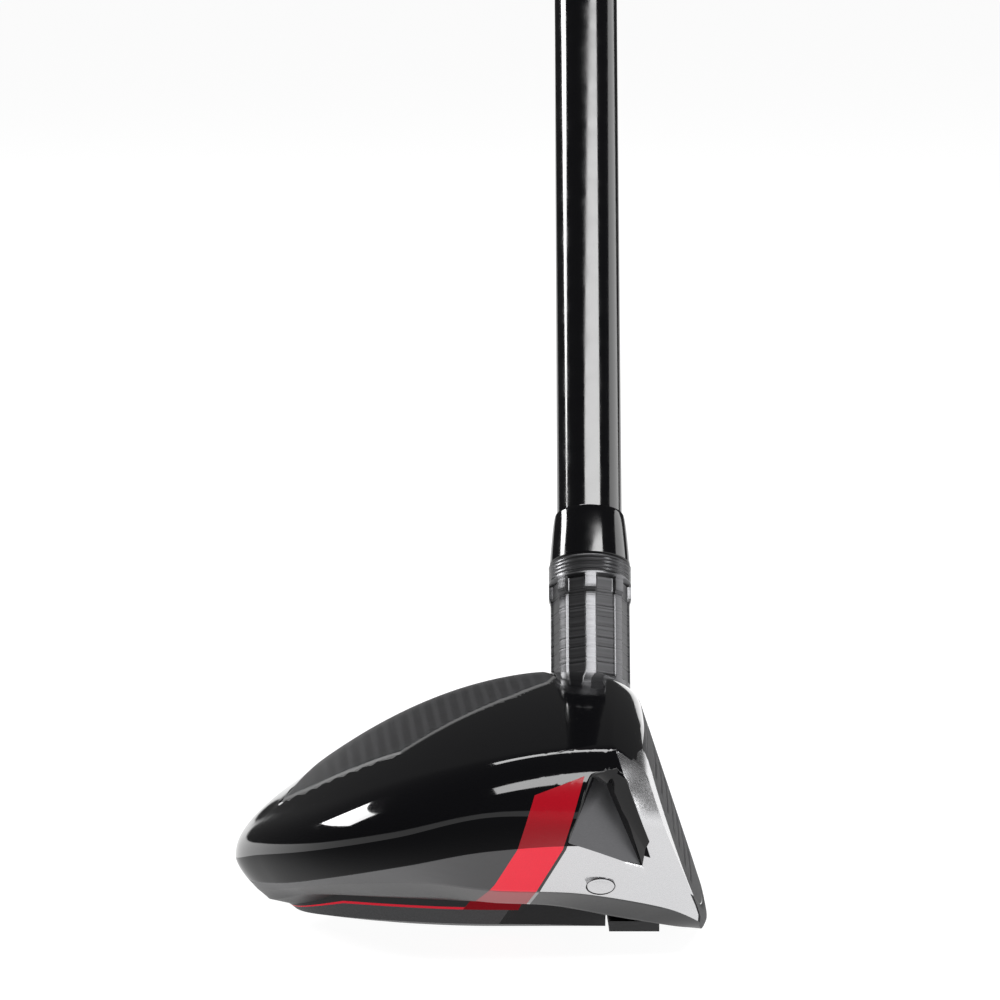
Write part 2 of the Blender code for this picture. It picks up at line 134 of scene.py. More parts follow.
def walls(bm, rings, closed=False):
    """Joins rings of points by four-sided faces, and returns their vertices ring by ring."""
    loops = [[bm.verts.new(p) for p in ring] for ring in rings]
    for lower, upper in zip(loops, loops[1:] + (loops[:1] if closed else [])):
        for i in range(len(lower)):
            j = (i + 1) % len(lower)
            bm.faces.new((lower[i], lower[j], upper[j], upper[i]))
    return loops


def grid_solid(rings):
    """A closed body through rings of points, each end closed by a fan to its middle."""
    bm = bmesh.new()
    loops = walls(bm, rings)
    bmesh.ops.poke(bm, faces=[bm.faces.new(reversed(loops[0])), bm.faces.new(loops[-1])])
    return bm


def boolean(obj, cutter_bm, name, looks, operation="DIFFERENCE"):
    """Cuts obj with the body in cutter_bm, or joins it, and applies that. The new faces take the
    looks."""
    cutter = mesh_object(name, cutter_bm, looks)
    modifier = obj.modifiers.new(name, "BOOLEAN")
    modifier.operation = operation
    modifier.object = cutter
    modifier.solver = "EXACT"
    modifier.material_mode = "TRANSFER"
    graph = bpy.context.evaluated_depsgraph_get()
    made = bpy.data.meshes.new_from_object(obj.evaluated_get(graph))
    obj.modifiers.clear()
    old, obj.data = obj.data, made
    bpy.data.meshes.remove(old)
    bpy.data.objects.remove(cutter)


def periodic(values, t):
    """A smooth closed curve through the stations' values, read at t from 0 to 1."""
    n = len(values)
    place = (t % 1.0) * n
    i, f = int(place), place % 1.0
    a, b, c, d = (values[(i + k) % n] for k in (-1, 0, 1, 2))
    return b + 0.5 * f * (c - a + f * (2 * a - 5 * b + 4 * c - d + f * (3 * (b - c) + d - a)))


def between(value, low, high):
    """How far the value is from low to high, as a share held to 0 and 1."""
    return min(max((value - low) / (high - low), 0), 1)


# The head's surfaces

def face_x(y, z):
    bulge = (y - FACE_CENTRE_Y) ** 2 / (2 * FACE_BULGE_R)
    return FACE_FOOT[0] - (z - FACE_FOOT[1]) * LOFT_SLOPE - bulge


def front_x(y, z):
    """The head's front: the face's plane, rounded over its topline and under its leading edge."""
    top = CROWN_TOP - TOPLINE_DROP - CROWN_TOE_CURVE * min(y, 0) ** 2
    top -= CROWN_HEEL_CURVE * max(y, 0) ** 2
    side = y - LEADING_CENTRE_Y
    foot = LEADING_Z + LEADING_TOE_CURVE * min(side, 0) ** 2 + LEADING_HEEL_CURVE * max(side, 0) ** 2
    over, under = max(z - top + TOPLINE_BAND, 0), max(foot + LEADING_BAND - z, 0)
    return face_x(y, z) - over ** 2 / TOPLINE_EASE - under ** 2 / LEADING_EASE


def crown_z(x, y):
    side = y - CROWN_RIDGE_Y
    curve = CROWN_HEEL_CURVE if side > 0 else CROWN_TOE_CURVE
    return CROWN_TOP - CROWN_X_CURVE * (x - CROWN_HIGH_X) ** 2 - curve * side * side


def keel_z(x, y):
    across = max(abs(y - FLAT_CENTRE[1]) - FLAT_HALF[1], 0)
    return KEEL_CAMBER * min(x - SOLE_FLAT_BACK, 0) ** 2 + KEEL_SIDE_CAMBER * across * across


def inward(t, amount):
    x, y = (periodic([p[k] for p in OUTLINE], t) for k in (0, 1))
    towards = Vector((HEAD_CENTRE[0] - x, HEAD_CENTRE[1] - y)).normalized()
    return x + towards.x * amount, y + towards.y * amount


def line_point(t, insets, heights):
    return (*inward(t, periodic(insets, t)), periodic(heights, t))


def keel_point(t, grow, drop):
    x, y = inward(t, 0)
    angle = math.atan2((y - KEEL_CENTRE[1]) / KEEL_HALF[1], (x - KEEL_CENTRE[0]) / KEEL_HALF[0])
    c, s = math.cos(angle), math.sin(angle)
    kx = KEEL_CENTRE[0] + (KEEL_HALF[0] + grow) * math.copysign(abs(c) ** KEEL_SQUARENESS, c)
    ky = KEEL_CENTRE[1] + (KEEL_HALF[1] + grow) * math.copysign(abs(s) ** KEEL_SQUARENESS, s)
    frontness, backness = between(kx, -1, 9), between(-kx, 30, 38)
    return kx, ky, keel_z(kx, ky) + drop * (1 - 0.8 * frontness - 0.85 * backness)


def mix(a, b, share):
    return tuple(p + (q - p) * share for p, q in zip(a, b))


def sole_point(t, share):
    """From the keel's middle, at share 0, to its edge, at share 1."""
    edge = keel_point(t, 0, 0)
    x, y = mix(FLAT_CENTRE, edge[:2], share)
    return x, y, keel_z(x, y)


def side_point(t, share):
    """From the crease, at share 0, up to the widest line, which it meets upright."""
    low, wide_z = periodic(CREASE_Z, t), periodic(WIDEST_Z, t)
    x, y = inward(t, periodic(CREASE_IN, t) * (1 - share) ** 1.5)
    return x, y, low + (wide_z - low) * share


def crown_point(t, share):
    edge = inward(t, CROWN_INSET)
    x, y = mix(HEAD_CENTRE, edge, share)
    return x, y, crown_z(x, y)


def shoulder_point(t, share):
    """From the widest line, at share 0, over to the crown's edge, which it meets in its slope."""
    wide_z, (ex, ey, edge_z) = periodic(WIDEST_Z, t), crown_point(t, 1)
    near = crown_point(t, 0.98)
    slope = (near[2] - edge_z) / max(math.dist(near[:2], (ex, ey)), 0.01)
    reach = CROWN_INSET * 0.5
    controls = [(0, wide_z), (0, wide_z + 0.55 * (edge_z - wide_z)),
                (CROWN_INSET - reach, edge_z - slope * reach), (CROWN_INSET, edge_z)]
    rest = 1 - share
    weights = [rest ** 3, 3 * share * rest ** 2, 3 * share ** 2 * rest, share ** 3]
    inset, z = (sum(w * c[k] for w, c in zip(weights, controls)) for k in (0, 1))
    return (*inward(t, inset), z)


def level_list():
    """Each level up the head as (group, share), close together where the surface turns."""
    levels = [("sole", k / 14) for k in range(2, 15)]
    levels += [("keel_wall", s) for s in (0.12, 0.4, 0.62)] + [("red_line", 0.72)]
    levels += [("keel_rim", s) for s in (0.88, 1.0)]
    levels += [("lower", k / 8) for k in range(1, 9)] + [("under", k / 10) for k in range(1, 11)]
    levels += [("flank", s) for s in (0.04, 0.2, 0.4, 0.6, 0.8, 0.96, 1.0)]
    levels += [("side", s) for s in (0.04, 0.15, 0.3, 0.45, 0.6, 0.75, 0.9, 1.0)]
    levels += [("shoulder", k / 18) for k in range(1, 18)]
    levels += [("crown", 1 - k / 30) for k in range(0, 30)]
    return levels


LEVELS = level_list()
FACE_COLUMNS, BODY_COLUMNS = 120, 330
FACE_GROUPS = ("flank", "side", "shoulder")         # the groups that the face cuts across
FACE_T, TOE_T, HEEL_T = -0.09, 0.10, -0.31          # the face's middle, and beyond its ends


def point_at(group, share, t):
    if group == "sole":
        return sole_point(t, share)
    if group in ("keel_wall", "red_line", "keel_rim"):
        return mix(keel_point(t, 0, 0), keel_point(t, RIM_GROW, KEEL_DROP), share)
    if group == "lower":
        return mix(keel_point(t, RIM_GROW, KEEL_DROP), line_point(t, SOLE_IN, SOLE_Z), share)
    if group == "under":
        return mix(line_point(t, SOLE_IN, SOLE_Z), line_point(t, FLANK_IN, FLANK_Z), share)
    if group == "flank":
        return mix(line_point(t, FLANK_IN, FLANK_Z), line_point(t, CREASE_IN, CREASE_Z), share)
    return {"side": side_point, "shoulder": shoulder_point, "crown": crown_point}[group](t, share)


def past_face(group, share, t):
    x, y, z = point_at(group, share, t)
    return x - front_x(y, z)


def crossing(test, inside, outside):
    """Where the test changes sign between the two places, by halving."""
    for _ in range(30):
        middle = (inside + outside) / 2
        if test(middle) > 0:
            inside = middle
        else:
            outside = middle
    return (inside + outside) / 2


def face_corners(group, share):
    """The t of the face's toe and heel corners at a level."""
    return [crossing(lambda t: past_face(group, share, t), FACE_T, end) for end in (TOE_T, HEEL_T)]


def column_shares(count):
    """Even steps from 0 to 1, drawn together a little at both ends."""
    return [0.6 * k / count + 0.2 * (1 - math.cos(math.pi * k / count)) for k in range(count)]


def face_row(group, share, foot, top):
    """The face's part of a ring, even between the face's foot and top and joined to its corners."""
    toe, heel = face_corners(group, share)
    corners = [Vector(point_at(group, share, t)) for t in (heel, toe)]
    rises = [(corner.z - foot[i][2]) / (top[i][2] - foot[i][2])
             for corner, i in zip(corners, (0, -1))]
    even = [Vector(mix(a, b, sum(rises) / 2)) for a, b in zip(foot, top)]
    offs = (corners[0] - even[0], corners[1] - even[-1])
    row = [place + offs[0].lerp(offs[1], k) for k, place in zip(column_shares(FACE_COLUMNS), even)]
    return [(front_x(y, z), y, z) for _, y, z in row]


def face_edge(group, t):
    """Where a surface that runs on past the face crosses it, at t."""
    reach = 1.0
    if past_face(group, 1.0, t) > 0:
        reach = crossing(lambda s: past_face(group, s, t), 1.0, 0.0)
    return reach


def head_level(group, share, foot=None, top=None):
    """One ring of the head, with a point on each of the face's corners."""
    if group == "crown":
        toe, heel = face_corners("shoulder", 1.0)
    elif group in FACE_GROUPS:
        toe, heel = face_corners(group, share)
    else:
        toe, heel = face_corners("under", 1.0)
    if foot and group in FACE_GROUPS:
        ring = face_row(group, share, foot, top)
    else:
        ring = []
        for k in column_shares(FACE_COLUMNS):
            t = heel + (toe - heel) * k
            reach = share * face_edge(group, t) if group in ("crown", "under") else share
            x, y, z = point_at(group, reach, t)
            ring.append((min(x, front_x(y, z)), y, z))
    for k in column_shares(BODY_COLUMNS):
        t = toe + (heel + 1 - toe) * k
        x, y, z = point_at(group, share, t)
        ring.append((min(x, front_x(y, z)), y, z))
    return ring


# Materials. Each returns a Principled material; colours are linear.

def shader(name, colour, roughness, metallic=0.0, coat=0.0, coat_roughness=0.05, specular=0.5):
    made = bpy.data.materials.new(name)
    made.use_nodes = True
    node = made.node_tree.nodes["Principled BSDF"]
    node.inputs["Base Color"].default_value = (*colour, 1)
    node.inputs["Roughness"].default_value = roughness
    node.inputs["Metallic"].default_value = metallic
    node.inputs["Coat Weight"].default_value = coat
    node.inputs["Coat Roughness"].default_value = coat_roughness
    node.inputs["Specular IOR Level"].default_value = specular
    return made


def add_node(look, kind, inputs=(), **settings):
    """A node with its input values or links set: each input is (name, value or socket)."""
    node = look.node_tree.nodes.new(kind)
    for key, value in settings.items():
        setattr(node, key, value)
    for name, value in inputs:
        if isinstance(value, bpy.types.NodeSocket):
            look.node_tree.links.new(value, node.inputs[name])
        else:
            node.inputs[name].default_value = value
    return node


def coordinates(look, stretch=(1, 1, 1)):
    """Object coordinates in millimetres, stretched along each axis."""
    place = add_node(look, "ShaderNodeTexCoord")
    scale = tuple(MM_PER_M * s for s in stretch)
    inputs = [("Vector", place.outputs["Object"]), ("Scale", scale)]
    return add_node(look, "ShaderNodeMapping", inputs).outputs[0]


def noise(look, scale, detail=3.0, stretch=(1, 1, 1)):
    inputs = [("Vector", coordinates(look, stretch)), ("Scale", scale), ("Detail", detail)]
    return add_node(look, "ShaderNodeTexNoise", inputs).outputs[0]


def ranged(look, value, low, high):
    """The value's usual range, 0.3 to 0.7, taken to low and high."""
    inputs = [("Value", value), ("From Min", 0.3), ("From Max", 0.7), ("To Min", low), ("To Max", high)]
    return add_node(look, "ShaderNodeMapRange", inputs).outputs[0]


def tinted(look, value, colour, darkest, lightest):
    """The colour times darkest where the value is 0, up to times lightest where it is 1."""
    node = add_node(look, "ShaderNodeMix", data_type="RGBA")
    look.node_tree.links.new(value, node.inputs[0])
    for socket, factor in ((6, darkest), (7, lightest)):
        node.inputs[socket].default_value = (*(min(c * factor, 1) for c in colour), 1)
    return node.outputs[2]


def plug(look, name, socket):
    look.node_tree.links.new(socket, look.node_tree.nodes["Principled BSDF"].inputs[name])


def bump(look, height, strength, distance_mm):
    inputs = [("Height", height), ("Strength", strength), ("Distance", distance_mm * MM)]
    plug(look, "Normal", add_node(look, "ShaderNodeBump", inputs).outputs[0])


def gloss_black(name, roughness=0.05, specular=0.3):
    look = shader(name, (0.0025, 0.0025, 0.003), roughness, specular=specular)
    plug(look, "Roughness", ranged(look, noise(look, 0.35), roughness * 0.8, roughness * 1.5))
    bump(look, noise(look, 0.9, 1), 0.05, 0.02)
    return look


def satin_steel(name, colour, roughness, stretch=(1, 6, 1), grain=0.25, metallic=1.0):
    """Bead-blasted or brushed steel: fine grain in its colour, roughness and height."""
    look = shader(name, colour, roughness, metallic, specular=0.15)
    streaks = noise(look, 2.2, 4, stretch)
    plug(look, "Base Color", tinted(look, streaks, colour, 1 - grain, 1 + grain))
    plug(look, "Roughness", ranged(look, streaks, roughness * 0.92, roughness * 1.1))
    bump(look, noise(look, 5, 3, stretch), 0.015, 0.004)
    return look


def grained(name, colour, roughness, scale, depth_mm, metallic=0.0):
    """A matte surface with grain or moulded texture."""
    look = shader(name, colour, roughness, metallic)
    grain = noise(look, scale, 2)
    plug(look, "Base Color", tinted(look, grain, colour, 0.6, 1.6))
    plug(look, "Roughness", ranged(look, grain, roughness * 0.85, min(roughness * 1.15, 1)))
    bump(look, grain, 0.5, depth_mm)
    return look


def candy_red(name, colour, coat):
    """Red lacquer with fine metal flake under a clear coat."""
    look = shader(name, colour, 0.3, coat=coat, coat_roughness=0.06, specular=0.05)
    plug(look, "Base Color", tinted(look, noise(look, 9, 2), colour, 0.85, 1.15))
    return look


def carbon_weave(name):
    """Flat tows in staggered rows, each a shade of its own, with lighter lines between them."""
    look = shader(name, (0.012, 0.012, 0.013), 0.35, 0.0, specular=0.4)
    turned = add_node(look, "ShaderNodeMapping", [
        ("Vector", coordinates(look)), ("Rotation", (0, 0, math.radians(42)))])
    cells = add_node(look, "ShaderNodeTexBrick", [
        ("Vector", turned.outputs[0]), ("Scale", 1.0), ("Brick Width", 2.4), ("Row Height", 1.2),
        ("Color1", (0.005, 0.005, 0.0055, 1)), ("Color2", (0.011, 0.011, 0.012, 1)),
        ("Mortar", (0.06, 0.06, 0.063, 1)), ("Mortar Size", 0.12), ("Mortar Smooth", 0.4)])
    plug(look, "Base Color", cells.outputs["Color"])
    plug(look, "Roughness", ranged(look, cells.outputs["Fac"], 0.38, 0.5))
    fibres = add_node(look, "ShaderNodeTexNoise", [
        ("Vector", turned.outputs[0]), ("Scale", 4.0), ("Detail", 3.0)])
    bump(look, fibres.outputs[0], 0.1, 0.03)
    return look


def turned_steel(name, colour, roughness, pitch_mm):
    """Steel with fine lathe lines round the shaft's line."""
    look = shader(name, colour, roughness, 0.9)
    along_axis = add_node(look, "ShaderNodeVectorMath", [
        (0, coordinates(look)), (1, tuple(AXIS / pitch_mm))], operation="DOT_PRODUCT")
    rings = add_node(look, "ShaderNodeTexNoise", [
        ("W", along_axis.outputs["Value"]), ("Scale", 1.0), ("Detail", 2.0)], noise_dimensions="1D")
    plug(look, "Base Color", tinted(look, rings.outputs[0], colour, 0.5, 1.6))
    plug(look, "Roughness", ranged(look, rings.outputs[0], roughness * 0.8, roughness * 1.2))
    bump(look, rings.outputs[0], 0.35, 0.04)
    return look


BLACK = gloss_black("gloss_black")
CARBON = carbon_weave("carbon_weave")
STEEL = satin_steel("satin_steel", (0.56, 0.56, 0.57), 0.26, grain=0.08)
BLACK_SIDE = gloss_black("gloss_black_side", 0.06, 0.02)
# A grey satin finish. On the flank band round the head, its lightness over the black paint is partly
# that facet's own grey and partly a painted reflection of the floor. The score lines in the face use it
# too.
GREY_FINISH_AND_SHEEN = satin_steel("grey_finish_and_sheen", (0.05, 0.05, 0.052), 0.4, metallic=0.0)
SOLE_STEEL = satin_steel("sole_steel", (0.02, 0.02, 0.021), 0.4, metallic=0.0)
SCOOP_FLOOR = satin_steel("scoop_floor", (0.12, 0.12, 0.125), 0.36, (1, 1, 5), 0.15)
FACE_STEEL = satin_steel("face_steel", (0.02, 0.02, 0.021), 0.6, (1, 0.4, 6), metallic=0.2)
GRANULAR = grained("granular_grey", (0.035, 0.035, 0.037), 0.6, 3.2, 0.12)
RED_SIDE = candy_red("red_side", (0.26, 0.004, 0.01), 0.1)
# The band's red paint in a bright copy for the flank facet: its extra lightness is a painted reflection
# of the floor. The keel's thin red line uses this copy too.
RED_SHEEN_AND_LINE = candy_red("red_sheen_and_line", (0.75, 0.012, 0.035), 0.2)
RED_SOLE = candy_red("red_sole", (0.24, 0.004, 0.01), 0.0)
POLYMER = grained("slot_polymer", (0.02, 0.02, 0.021), 0.5, 2.0, 0.05)
PINSTRIPE = satin_steel("pinstripe", (0.10, 0.10, 0.10), 0.55, metallic=0.0)


# The head

# Outlines of the fitted pieces: the crown panel and the rear strip from above, and the face plate
# from the front as (y, z)
CROWN_PANEL = [(-38.5, -3), (-34, -11), (-28, -17.5), (-21.7, -22.5), (-17.2, -19), (-11, -14),
               (-6.5, -10), (-1.6, -3), (-0.6, 2), (-2, 9), (-7, 15), (-14, 19.5), (-21, 22),
               (-28, 18), (-34, 9)]
FACE_PLATE = [(-33, 13.2), (-27, 7.7), (-12, 4.9), (8, 4.9), (23, 6.9), (29.5, 10.7), (30, 18.7),
              (20, 23.2), (4, 26.1), (-16, 27.7), (-28, 27.3), (-33.5, 22.7)]
REAR_STRIP = [(-35, -6), (-35.6, -1), (-35, 4), (-24, 6.2), (-12, 6.6), (-8.6, 5.6), (-11.5, -8),
              (-24, -8)]
SLOT_BACK, SLOT_FRONT, SLOT_REACH = 6.2, 13.6, 20.0
SLOT_DEPTH, SLOT_RISE, SLOT_FILL_LOW = 2.4, 0.06, 0.7
PORT_AT, PORT_TURN, PORT_R = (5.0, -35.0, 11.2), math.radians(41), 1.85
SCOOP_LIP = [(3.6, -44, 27.7), (7.4, -43, 29.1), (13.2, -40, 13.1), (-0.2, -45, 17.3)]
SCOOP_BED = [(4.0, -42.4, 27.1), (5.6, -40.4, 25.9), (10.2, -37.4, 14.7), (0.2, -43.6, 17.7)]
SCOOP_MOUTH_Y = -60
SEAM = 0.1                  # half the visible gap round each fitted piece
NECK = [(16.5, 7.0), (26, 6.8), (28, 6.5), (29.2, 6.1)]         # place on the shaft's line, radius
SOCKET = [(18.5, 5.9), (60, 5.9)]

# The edges of the toe's finishes: x, and height in a view from the toe that looks down by this angle
LOOK_DOWN = math.radians(7)
BAND_LEFT = [(-3.8, 19.7), (-6.0, 12.4), (-9.0, 7.2), (-12.3, 3.2)]
BAND_RIGHT = [(2.7, 22.1), (-0.1, 12.3), (-3.1, 6.9), (-4.9, 3.5)]
BAND_TOP = [BAND_LEFT[0], BAND_RIGHT[0]]
BAND_GROOVE = [(x + 0.45, height) for x, height in BAND_RIGHT]
GROOVE_FOOT = 2
RIB_EDGE, RIB_TOP = [(7.4, 23.6), (12.4, 8.1)], [(15.3, 30.9), (6.0, 24.4)]
RED_LINE_X = (-39.5, -8.0)
STRIP_END = [(-6.0, 3.4), (-9.4, -1.5)]
STRIP_GAP = [(x + 0.7, height) for x, height in STRIP_END]
TOE_Y, SPLIT_Y, SPLIT_X = -4, -5, (-18, 17)             # where the toe's finishes are
FRONT_NEAR, BLACK_FROM_Z, STEEL_FROM_Y = 0.25, 29, -31  # where the front's finishes change


def view_height(point):
    return point[2] * math.cos(LOOK_DOWN) + point[1] * math.sin(LOOK_DOWN)


def edge_x(edge, height):
    """The x of a band's edge at a height, along its straight pieces and on past both ends."""
    for (x0, h0), (x1, h1) in zip(edge, edge[1:]):
        if height >= h1 or (x1, h1) == edge[-1]:
            return x0 + (x1 - x0) * (height - h0) / (h1 - h0)


def edge_height(edge, x):
    """The height of a straight edge at x."""
    (x0, h0), (x1, h1) = edge
    return h0 + (x - x0) * (h1 - h0) / (x1 - x0)


def split_along(bm, start, end):
    """Splits the toe's faces along the straight line between two points of the toe view."""
    run, rise = end[0] - start[0], end[1] - start[1]
    normal = Vector((rise, -run * math.sin(LOOK_DOWN), -run * math.cos(LOOK_DOWN)))
    place = Vector((start[0], 0, start[1] / math.cos(LOOK_DOWN)))
    centres = {f: f.calc_center_median() for f in bm.faces}
    near = [f for f, c in centres.items() if c.y < SPLIT_Y and SPLIT_X[0] < c.x < SPLIT_X[1]]
    geometry = list({e for f in near for e in f.edges} | {v for f in near for v in f.verts}) + near
    bmesh.ops.bisect_plane(bm, geom=geometry, plane_co=place, plane_no=normal, dist=0.01)


HEAD_LOOKS = {
    "black": BLACK, "dark": GREY_FINISH_AND_SHEEN, "steel": STEEL, "sole": SOLE_STEEL, "red_side": RED_SIDE,
    "red_sheen_and_line": RED_SHEEN_AND_LINE, "red_sole": RED_SOLE, "granular": GRANULAR, "face": FACE_STEEL,
    "black_side": BLACK_SIDE,
}


def look_of(group, centre):
    """Which finish a face of the head has, from its level and its place."""
    x, y, z = centre
    height = view_height(centre)
    toe_side = y < TOE_Y
    if x > front_x(y, z) - FRONT_NEAR and group in (*FACE_GROUPS, "crown"):
        if group == "crown" or z > BLACK_FROM_Z:
            return "black"
        return "steel" if y < STEEL_FROM_Y else "face"
    band = toe_side and edge_x(BAND_LEFT, height) < x < edge_x(BAND_RIGHT, height)
    band = band and height < edge_height(BAND_TOP, x)
    if group in ("side", "shoulder", "crown"):
        if band:
            return "red_side"
        if toe_side and x > edge_x(RIB_EDGE, height) and height < edge_height(RIB_TOP, x):
            return "steel"
        return "black_side" if group == "side" else "black"
    groove = edge_x(BAND_RIGHT, height) < x < edge_x(BAND_GROOVE, height)
    if toe_side and groove and height > GROOVE_FOOT:
        return "black"
    if group == "flank":
        # On the flank the red band takes the bright copy of the red paint, a painted reflection.
        if band:
            return "red_sheen_and_line"
        # Elsewhere the flank is grey: partly its own finish, partly a painted reflection of the floor.
        return "steel" if toe_side and x > edge_x(BAND_RIGHT, height) else "dark"
    if band and group in ("under", "lower", "red_line", "keel_rim"):
        return "red_sole"
    if group == "red_line":
        return "red_sheen_and_line" if toe_side and RED_LINE_X[0] < x < RED_LINE_X[1] else "sole"
    if group == "keel_wall":
        if x < edge_x(STRIP_END, height):
            return "granular"
        return "black" if x < edge_x(STRIP_GAP, height) else "sole"
    return "sole"


def head_mesh():
    foot, top = (head_level(group, 1.0)[:FACE_COLUMNS + 1] for group in ("under", "crown"))
    rings = [head_level(group, share, foot, top) for group, share in LEVELS]
    bm = bmesh.new()
    tag = bm.faces.layers.int.new("group")
    groups = list(dict.fromkeys(group for group, _ in LEVELS))
    loops = walls(bm, rings)
    for i, face in enumerate(bm.faces):
        face[tag] = groups.index(LEVELS[i // len(rings[0]) + 1][0])
    ends = [bm.faces.new(reversed(loops[0])), bm.faces.new(loops[-1])]
    ends[0][tag], ends[1][tag] = groups.index("sole"), groups.index("crown")
    bmesh.ops.poke(bm, faces=ends)
    for edge in (BAND_LEFT, BAND_RIGHT, BAND_GROOVE, STRIP_END, STRIP_GAP, RIB_EDGE, RIB_TOP, BAND_TOP):
        for start, end in zip(edge, edge[1:]):
            split_along(bm, start, end)
    looks = list(HEAD_LOOKS)
    for face in bm.faces:
        face.material_index = looks.index(look_of(groups[face[tag]], face.calc_center_median()))
    return bm


def dense(outline, step=0.6):
    """The closed outline with points added along its sides."""
    points = []
    for (x0, y0), (x1, y1) in zip(outline, outline[1:] + outline[:1]):
        count = max(int(math.hypot(x1 - x0, y1 - y0) / step), 1)
        points += [(x0 + (x1 - x0) * k / count, y0 + (y1 - y0) * k / count) for k in range(count)]
    return points


def grown(outline, amount, centre):
    """The outline moved outwards by the amount, away from its centre."""
    out = []
    for point in outline:
        away = (Vector(point) - Vector(centre)).normalized() * amount
        out.append((point[0] + away.x, point[1] + away.y))
    return out


def smooth_closed(points, steps):
    return [tuple(periodic([p[k] for p in points], i / steps) for k in (0, 1))
            for i in range(steps)]


def slab(outline, centre, surface, low, high, bevel=0.0, steps=18):
    """A closed slab in an outline. surface(u, v, height) gives its points, and bevel slopes its
    upper edge. The bevel's faces have material 1, and the rest material 0.
    """
    def ring(share, height, inset=0.0):
        shape = grown(outline, -inset, centre) if inset else outline
        return [surface(*(c + (p - c) * share for c, p in zip(centre, point)), height)
                for point in shape]
    shares = [k / steps for k in range(1, steps + 1)]
    rings = [ring(s, low) for s in shares]
    rings += [ring(1, high - bevel)] if bevel else []
    rings += [ring(s, high, bevel) for s in reversed(shares)]
    bm = grid_solid(rings)
    if bevel:
        bm.faces.ensure_lookup_table()
        count = len(outline)
        for face in bm.faces[count * steps:count * (steps + 1)]:
            face.material_index = 1
    return bm


def on_crown(x, y, height):
    return x, y, crown_z(x, y) + height


def on_keel(x, y, height):
    return x, y, keel_z(x, y) + height


def on_face(y, z, height):
    return face_x(y, z) + height, y, z


PANEL_OUTLINE, PANEL_CENTRE = dense(CROWN_PANEL), (-16.0, -3.0)
PLATE_OUTLINE, PLATE_CENTRE = smooth_closed(FACE_PLATE, 200), (-3.0, 16.7)
STRIP_OUTLINE, STRIP_CENTRE = dense(REAR_STRIP), (-23.0, -0.5)


def along(distance, radius=0.0, angle=0.0):
    return FOOT + AXIS * distance + (ACROSS * math.cos(angle) + SIDE * math.sin(angle)) * radius


def ring_at(distance, radius, steps=128):
    return [along(distance, radius, 2 * math.pi * i / steps) for i in range(steps)]


def tube(rings):
    """A tube through rings of points that lead round its wall, the last back to the first."""
    bm = bmesh.new()
    walls(bm, rings, closed=True)
    return bm


def turned(profile, steps=128):
    return tube([ring_at(d, r, steps) for d, r in profile])


def port_disc(radius, inner, outer, dish=0.0):
    """A round plug on the port's line, from inside the head to outside, with a dish in its end."""
    axis = Vector((0, -math.sin(PORT_TURN), -math.cos(PORT_TURN)))
    u, v = ACROSS, axis.cross(ACROSS)
    profile = [(-inner, radius), (outer - 0.12, radius), (outer, radius - 0.12)]
    profile += [(outer - dish, radius - 0.75), (outer - dish, 0.4)] if dish else []
    circle = [u * math.cos(a) + v * math.sin(a) for a in (2 * math.pi * i / 64 for i in range(64))]
    middle = Vector(PORT_AT)
    return grid_solid([[middle + axis * depth + c * r for c in circle] for depth, r in profile])


def slot_bar(back, front, reach, low, high):
    """A bar along the slot that rises a little towards both ends, as the sole does."""
    corners = [(back, low), (front, low), (front, high), (back, high)]
    rings = []
    for k in range(41):
        y = reach * (k / 20 - 1)
        rise = SLOT_RISE * math.sqrt(y * y + 1)
        rings.append([(x, y, z + rise) for x, z in corners])
    return grid_solid(rings)


def toe_scoop():
    """The hollow beside the face in the toe. Its floor has the second finish."""
    bm = bmesh.new()
    mouth = [(x, SCOOP_MOUTH_Y, z) for x, _, z in SCOOP_LIP]
    loops = walls(bm, [mouth, SCOOP_LIP, SCOOP_BED])
    bm.faces.new(reversed(loops[0]))
    bm.faces.new(loops[2]).material_index = 1
    bmesh.ops.triangulate(bm, faces=bm.faces)
    return bm


def score_lines(lowest=10.3, step=2.35, count=7, depth=0.45, half=0.35, toe=-27, heel=24):
    """Seven bars across the face that follow its bulge, shorter towards the top of the heel."""
    bm = bmesh.new()
    for line in range(count):
        z = lowest + line * step
        end = heel - max(z - 16.7, 0) * 0.9
        section = [(-depth, -half * 0.6), (2, -half * 2), (2, half * 2), (-depth, half * 0.6)]
        places = [toe + (end - toe) * k / 32 for k in range(33)]
        loops = walls(bm, [[(face_x(y, z) + x, y, z + up) for x, up in section] for y in places])
        bm.faces.new(reversed(loops[0]))
        bm.faces.new(loops[-1])
    return bm


def seat(head, name, outline, centre, surface, low, high):
    """Cuts a black-walled seat that is wider than its piece by the seam."""
    boolean(head, slab(grown(outline, SEAM, centre), centre, surface, low, high), name, [BLACK])


def make_head():
    head = mesh_object("head_shell", head_mesh(), HEAD_LOOKS.values(), 24, "head_body", "head_paint")
    boolean(head, grid_solid([ring_at(d, r) for d, r in NECK]), "neck_join", [BLACK], "UNION")
    boolean(head, grid_solid([ring_at(d, r) for d, r in SOCKET]), "socket_cut", [BLACK])
    boolean(head, toe_scoop(), "scoop_cut", [BLACK, SCOOP_FLOOR])
    slot = slot_bar(SLOT_BACK, SLOT_FRONT, SLOT_REACH, -9, SLOT_DEPTH)
    boolean(head, slot, "slot_cut", [POLYMER])
    seat(head, "strip_cut", STRIP_OUTLINE, STRIP_CENTRE, on_keel, -3, 1.3)
    boolean(head, port_disc(PORT_R + SEAM, 2.0, 6), "port_cut", [BLACK])
    seat(head, "crown_cut", PANEL_OUTLINE, PANEL_CENTRE, on_crown, -1.3, 4)
    seat(head, "face_cut", PLATE_OUTLINE, PLATE_CENTRE, on_face, -2.3, 4)


